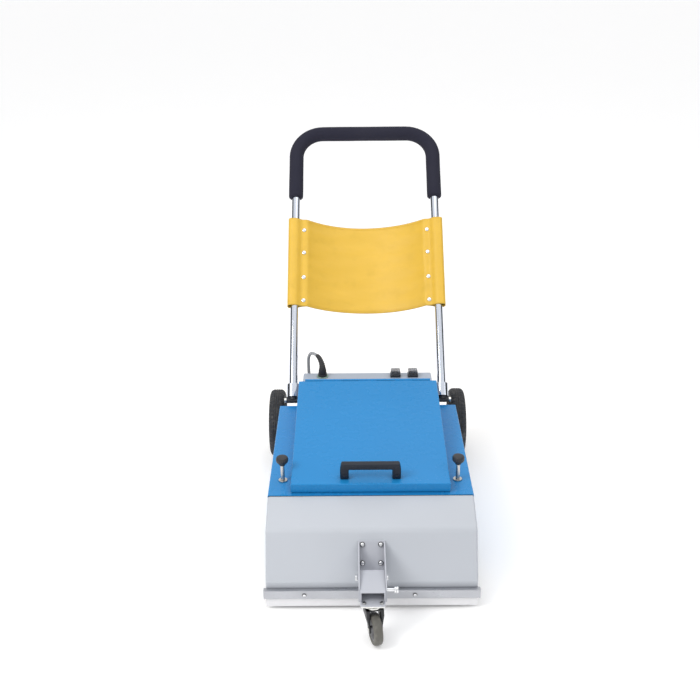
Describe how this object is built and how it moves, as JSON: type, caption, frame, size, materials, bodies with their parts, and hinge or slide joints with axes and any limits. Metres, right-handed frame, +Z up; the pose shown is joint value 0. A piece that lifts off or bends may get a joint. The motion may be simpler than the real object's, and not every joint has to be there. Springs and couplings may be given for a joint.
{
  "type": "escalator cleaning machine",
  "caption": "Walk-behind cleaner for escalator steps: grey brush hood, blue body with lid, front caster, rear wheels and a folding push handle with a fabric sling.",
  "frame": {"origin": "middle of the machine's box on the floor, without its lead, coil and plug", "axes": "+X to the right as seen from the front, +Y from the front caster to the push handle, +Z up"},
  "size_m": [0.587, 1.4758, 0.8863],
  "materials": {
    "blue_paint": "satin blue powder coat",
    "grey_paint": "satin light grey paint",
    "bracket_paint": "satin light grey paint on folded steel",
    "frame_paint": "black painted steel",
    "aluminium": "extruded, satin",
    "zinc": "zinc plated",
    "chrome": "polished",
    "steel": "turned",
    "black_plastic": "moulded black nylon",
    "grey_plastic": "moulded",
    "clear_boot": "clear soft boot",
    "white_skirt": "flexible white strip",
    "black_rubber": "matt",
    "tyre": "matt black rubber",
    "caster_tyre": "grey brown rubber",
    "foam": "closed cell foam",
    "yellow_vinyl": "coated cloth",
    "bristle": "nylon bristles",
    "green_gasket": "soft washer",
    "grey_cable": "grey lead sheath",
    "filter_paper": "filter fleece"
  },
  "bodies": {
    "body": {"chassis_frame": "frame_paint", "axle_plates": "frame_paint", "body_cover": "blue_paint", "lid_seal": "black_rubber", "hinge_body_leaf": "steel", "hood": "grey_paint", "skirt_strip": "aluminium", "front_skirt": "white_skirt", "front_fasteners": "zinc", "caster_bracket": "bracket_paint", "dust_bin": "grey_plastic", "suction_duct": "grey_plastic", "dust_filter": "filter_paper", "suction_motor": "grey_plastic", "control_box": "grey_paint", "control_gear": "grey_plastic", "switch_bodies": "black_plastic", "switch_boots": "clear_boot", "adjuster_bushes": "chrome", "rear_axle": "steel", "pivot_bolts": "zinc", "cable_gasket": "green_gasket", "cable_gland": "black_plastic", "mains_lead": "grey_cable", "mains_coil": "grey_cable", "mains_tail": "grey_cable", "mains_plug": "black_plastic"},
    "lid": {"lid": "blue_paint", "lid_handle": "black_plastic", "hinge_lid_leaf": "steel"},
    "caster_arm": {"caster_arm": "bracket_paint", "caster_plate": "zinc"},
    "caster_fork": {"caster_fork": "zinc"},
    "caster_wheel": {"caster_hub": "grey_plastic", "caster_tyre": "caster_tyre"},
    "lock_pin": {"lock_pin": "chrome"},
    "brush_head": {"brush_head_frame": "frame_paint", "brush_bearings": "steel", "brush_motor": "grey_plastic", "drive_belt": "black_rubber"},
    "front_brush": {"front_brush_core": "grey_plastic", "front_brush_bristles": "bristle"},
    "rear_brush": {"rear_brush_core": "grey_plastic", "rear_brush_bristles": "bristle"},
    "motor_shaft": {"motor_pulley": "steel"},
    "adjuster_left": {"adjuster_left": "black_plastic"},
    "adjuster_right": {"adjuster_right": "black_plastic"},
    "suction_fan": {"suction_fan": "grey_plastic"},
    "switch_left": {"switch_rocker_left": "black_plastic"},
    "switch_right": {"switch_rocker_right": "black_plastic"},
    "wheel_left": {"wheel_rim_left": "black_plastic", "wheel_tyre_left": "tyre"},
    "wheel_right": {"wheel_rim_right": "black_plastic", "wheel_tyre_right": "tyre"},
    "handle": {"handle_tube": "chrome", "foam_grip": "foam", "handle_sleeves": "chrome", "handle_knuckles": "black_plastic", "sling": "yellow_vinyl", "sling_snaps": "chrome"}
  },
  "joints": [
    {"name": "lid_hinge", "type": "hinge", "parent": "body", "child": "lid", "pos_m": [0, 0.06269, 0.297], "axis": [-1, 0, 0], "range_deg": [0, 95]},
    {"name": "caster_fold", "type": "hinge", "parent": "body", "child": "caster_arm", "pos_m": [0, -0.61631, 0.118], "axis": [-1, 0, 0], "range_deg": [0, 95]},
    {"name": "caster_swivel", "type": "hinge", "parent": "caster_arm", "child": "caster_fork", "pos_m": [0, -0.67831, 0.095], "axis": [0, 0, 1], "continuous": true},
    {"name": "caster_roll", "type": "hinge", "parent": "caster_fork", "child": "caster_wheel", "pos_m": [0.00532, -0.69966, 0.0375], "axis": [0.9703, 0.2419, 0], "continuous": true},
    {"name": "lock_pin_slide", "type": "slide", "parent": "body", "child": "lock_pin", "axis": [1, 0, 0], "range_m": [-0.01, 0]},
    {"name": "brush_lift", "type": "slide", "parent": "body", "child": "brush_head", "axis": [0, 0, 1], "range_m": [0, 0.012]},
    {"name": "adjuster_left_turn", "type": "hinge", "parent": "body", "child": "adjuster_left", "pos_m": [-0.221, -0.35231, 0.2], "axis": [0, 0, 1], "range_deg": [-10, 2170]},
    {"name": "adjuster_right_turn", "type": "hinge", "parent": "body", "child": "adjuster_right", "pos_m": [0.221, -0.35231, 0.2], "axis": [0, 0, 1], "range_deg": [-10, 2170]},
    {"name": "front_brush_spin", "type": "hinge", "parent": "brush_head", "child": "front_brush", "pos_m": [0, -0.51131, 0.055], "axis": [1, 0, 0], "continuous": true},
    {"name": "rear_brush_spin", "type": "hinge", "parent": "brush_head", "child": "rear_brush", "pos_m": [0, -0.39631, 0.055], "axis": [1, 0, 0], "continuous": true},
    {"name": "motor_spin", "type": "hinge", "parent": "brush_head", "child": "motor_shaft", "pos_m": [0, -0.25131, 0.095], "axis": [1, 0, 0], "continuous": true},
    {"name": "fan_spin", "type": "hinge", "parent": "body", "child": "suction_fan", "pos_m": [0, -0.04631, 0.17], "axis": [0, 0, 1], "continuous": true},
    {"name": "switch_left_rock", "type": "hinge", "parent": "body", "child": "switch_left", "pos_m": [0.083, 0.13569, 0.278], "axis": [-1, 0, 0], "range_deg": [0, 14]},
    {"name": "switch_right_rock", "type": "hinge", "parent": "body", "child": "switch_right", "pos_m": [0.134, 0.13569, 0.278], "axis": [-1, 0, 0], "range_deg": [0, 14]},
    {"name": "wheel_left_roll", "type": "hinge", "parent": "body", "child": "wheel_left", "pos_m": [-0.27125, 0.17069, 0.1016], "axis": [1, 0, 0], "continuous": true},
    {"name": "wheel_right_roll", "type": "hinge", "parent": "body", "child": "wheel_right", "pos_m": [0.27125, 0.17069, 0.1016], "axis": [1, 0, 0], "continuous": true},
    {"name": "handle_fold", "type": "hinge", "parent": "body", "child": "handle", "pos_m": [0, 0.08169, 0.2234], "axis": [1, 0, 0], "range_deg": [0, 90]}
  ],
  "couplings": [
    {"joint": "adjuster_left_turn", "follows": "brush_lift", "rad_per_m": 3141.6},
    {"joint": "adjuster_right_turn", "follows": "brush_lift", "rad_per_m": 3141.6},
    {"joint": "rear_brush_spin", "follows": "front_brush_spin", "ratio": 1},
    {"joint": "motor_spin", "follows": "front_brush_spin", "ratio": 1.4667}
  ]
}
